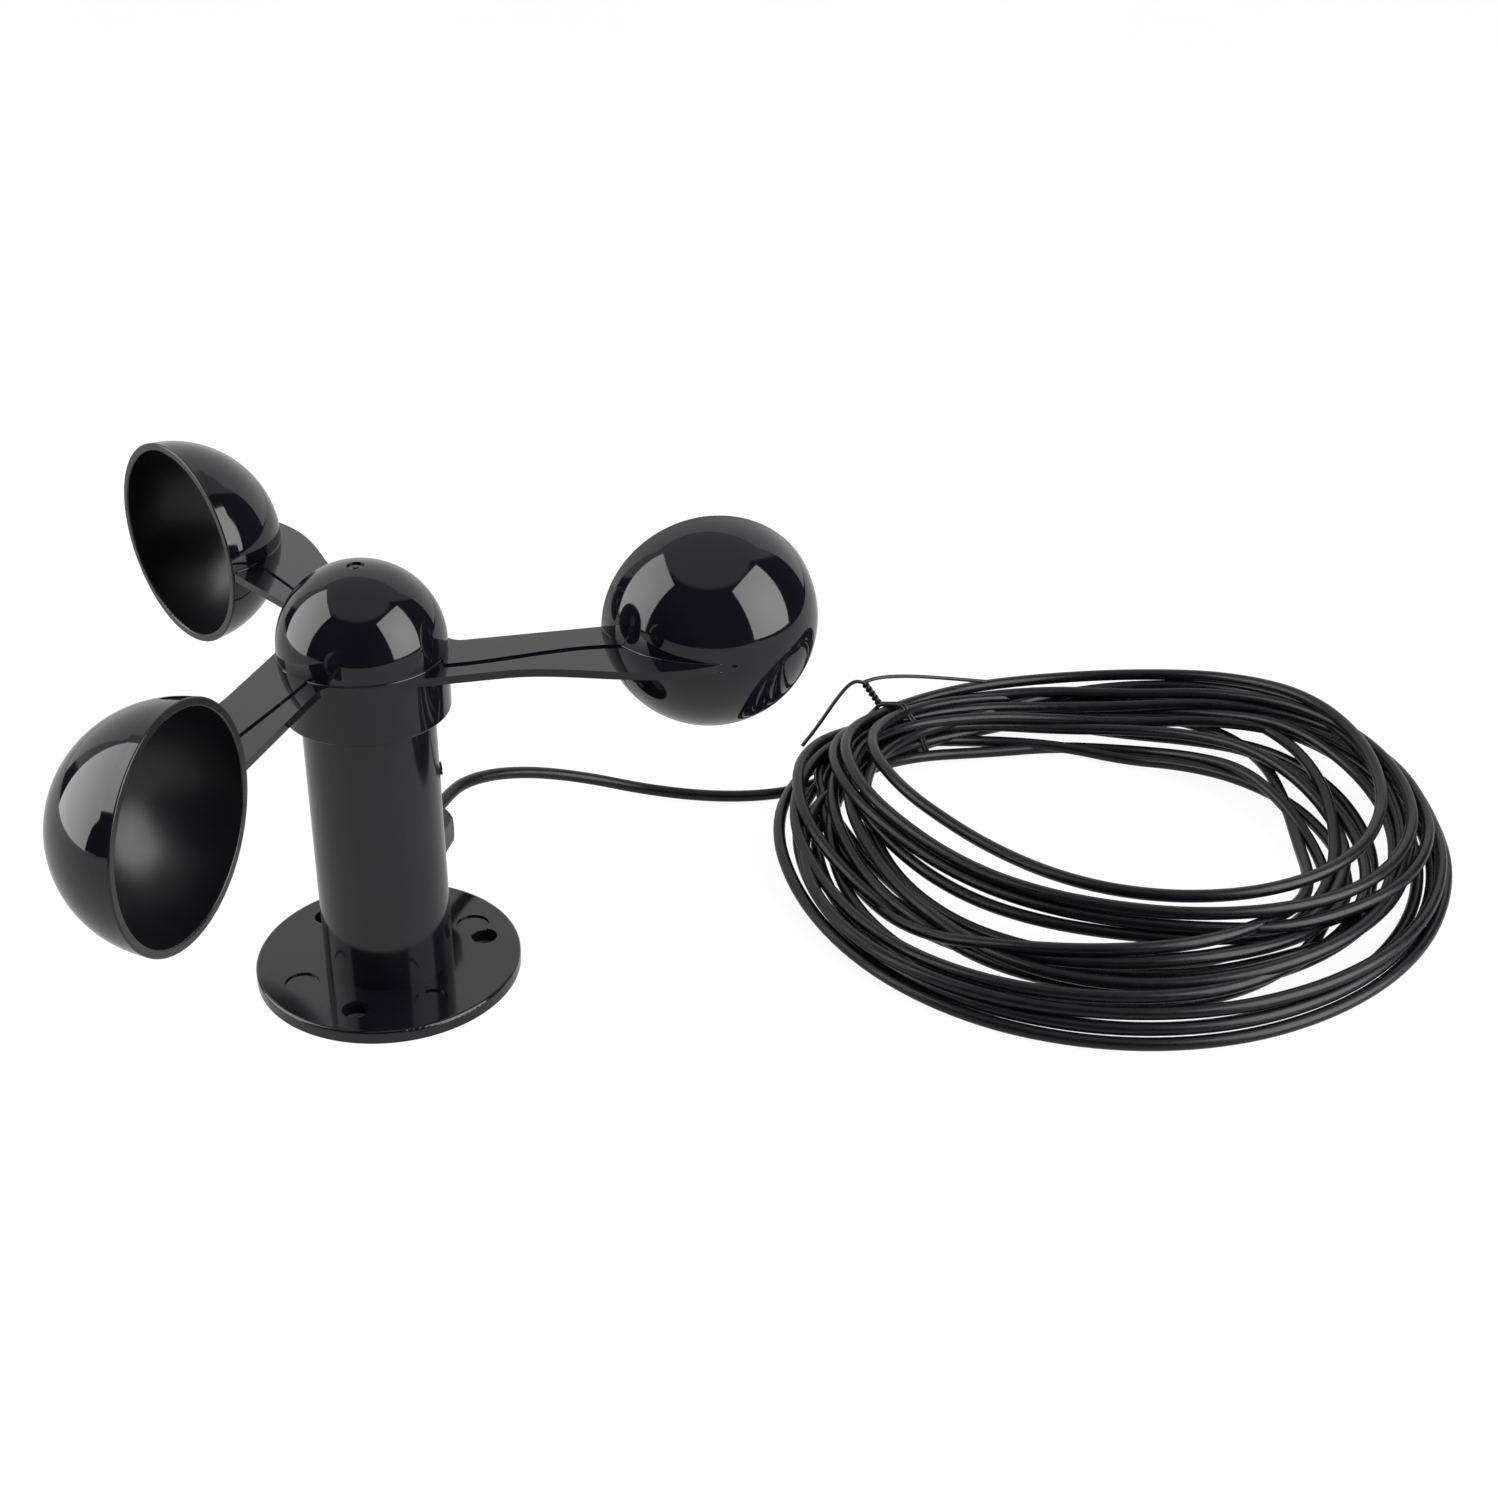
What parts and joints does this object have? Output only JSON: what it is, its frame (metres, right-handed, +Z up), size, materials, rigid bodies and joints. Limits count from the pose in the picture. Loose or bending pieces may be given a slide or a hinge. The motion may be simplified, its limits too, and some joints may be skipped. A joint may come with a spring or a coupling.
{
  "type": "cup anemometer",
  "caption": "Black cup anemometer: a rotor of hemispherical cups on a tubular body with a round mounting flange, side cable gland and a coiled signal cable.",
  "frame": {"origin": "centre of the mounting flange's underside, on the rotor axis", "axes": "+Z up along the rotor axis; +X along the first arm, towards the coiled cable"},
  "size_m": [0.3604, 0.1919, 0.1137],
  "materials": {
    "black_abs": "glossy",
    "satin_tube": "satin",
    "nylon": "satin",
    "seal_rubber": "matte",
    "cable_jacket": "satin",
    "bright_steel": "satin",
    "dark_screw": "matte",
    "board": "satin"
  },
  "bodies": {
    "base": {"base_flange": "black_abs", "body_tube": "satin_tube", "bottom_cover": "black_abs", "cover_gasket": "seal_rubber", "cover_screws": "bright_steel", "flange_screws": "bright_steel", "gland_body": "nylon", "gland_washer": "seal_rubber", "gland_seal": "seal_rubber", "gland_cap": "nylon", "cable_tail": "cable_jacket", "tail_tie": "nylon", "supply_wire": "cable_jacket", "ground_wire": "cable_jacket", "signal_wire": "cable_jacket", "bearing_housing": "satin_tube", "housing_screw": "dark_screw", "lower_retaining_ring": "bright_steel", "upper_retaining_ring": "bright_steel", "dust_shield": "nylon", "board_standoffs": "satin_tube", "board_screws": "bright_steel", "sensor_board": "board", "hall_sensor": "board", "board_chips": "board", "board_capacitors": "board", "terminal_block": "board", "lower_outer_race": "bright_steel", "upper_outer_race": "bright_steel", "cable": "cable_jacket", "cable_coil": "cable_jacket", "wire_tie": "dark_screw", "cable_leads": "bright_steel"},
    "rotor": {"rotor_shaft": "bright_steel", "shaft_clip": "bright_steel", "bearing_spacer": "nylon", "hub_spacer": "bright_steel", "magnet_carrier": "nylon", "sensor_magnets": "bright_steel", "rotor_hub": "black_abs", "hub_washer": "bright_steel", "hub_nut": "bright_steel", "hub_cap": "black_abs", "arm_screws": "bright_steel", "lower_inner_race": "bright_steel", "upper_inner_race": "bright_steel", "arm_1": "black_abs", "arm_2": "black_abs", "arm_3": "black_abs", "cup_1": "black_abs", "cup_2": "black_abs", "cup_3": "black_abs"},
    "lower_bearing_balls": {"lower_balls": "bright_steel", "lower_cage": "nylon"},
    "upper_bearing_balls": {"upper_balls": "bright_steel", "upper_cage": "nylon"}
  },
  "joints": [
    {"name": "rotor_spin", "type": "hinge", "parent": "base", "child": "rotor", "pos_m": [0, 0, 0.0665], "axis": [0, 0, 1], "continuous": true},
    {"name": "lower_balls_travel", "type": "hinge", "parent": "base", "child": "lower_bearing_balls", "pos_m": [0, 0, 0.0575], "axis": [0, 0, 1], "continuous": true},
    {"name": "upper_balls_travel", "type": "hinge", "parent": "base", "child": "upper_bearing_balls", "pos_m": [0, 0, 0.076], "axis": [0, 0, 1], "continuous": true}
  ],
  "couplings": [
    {"joint": "lower_balls_travel", "follows": "rotor_spin", "ratio": 0.3706},
    {"joint": "upper_balls_travel", "follows": "rotor_spin", "ratio": 0.3706}
  ]
}
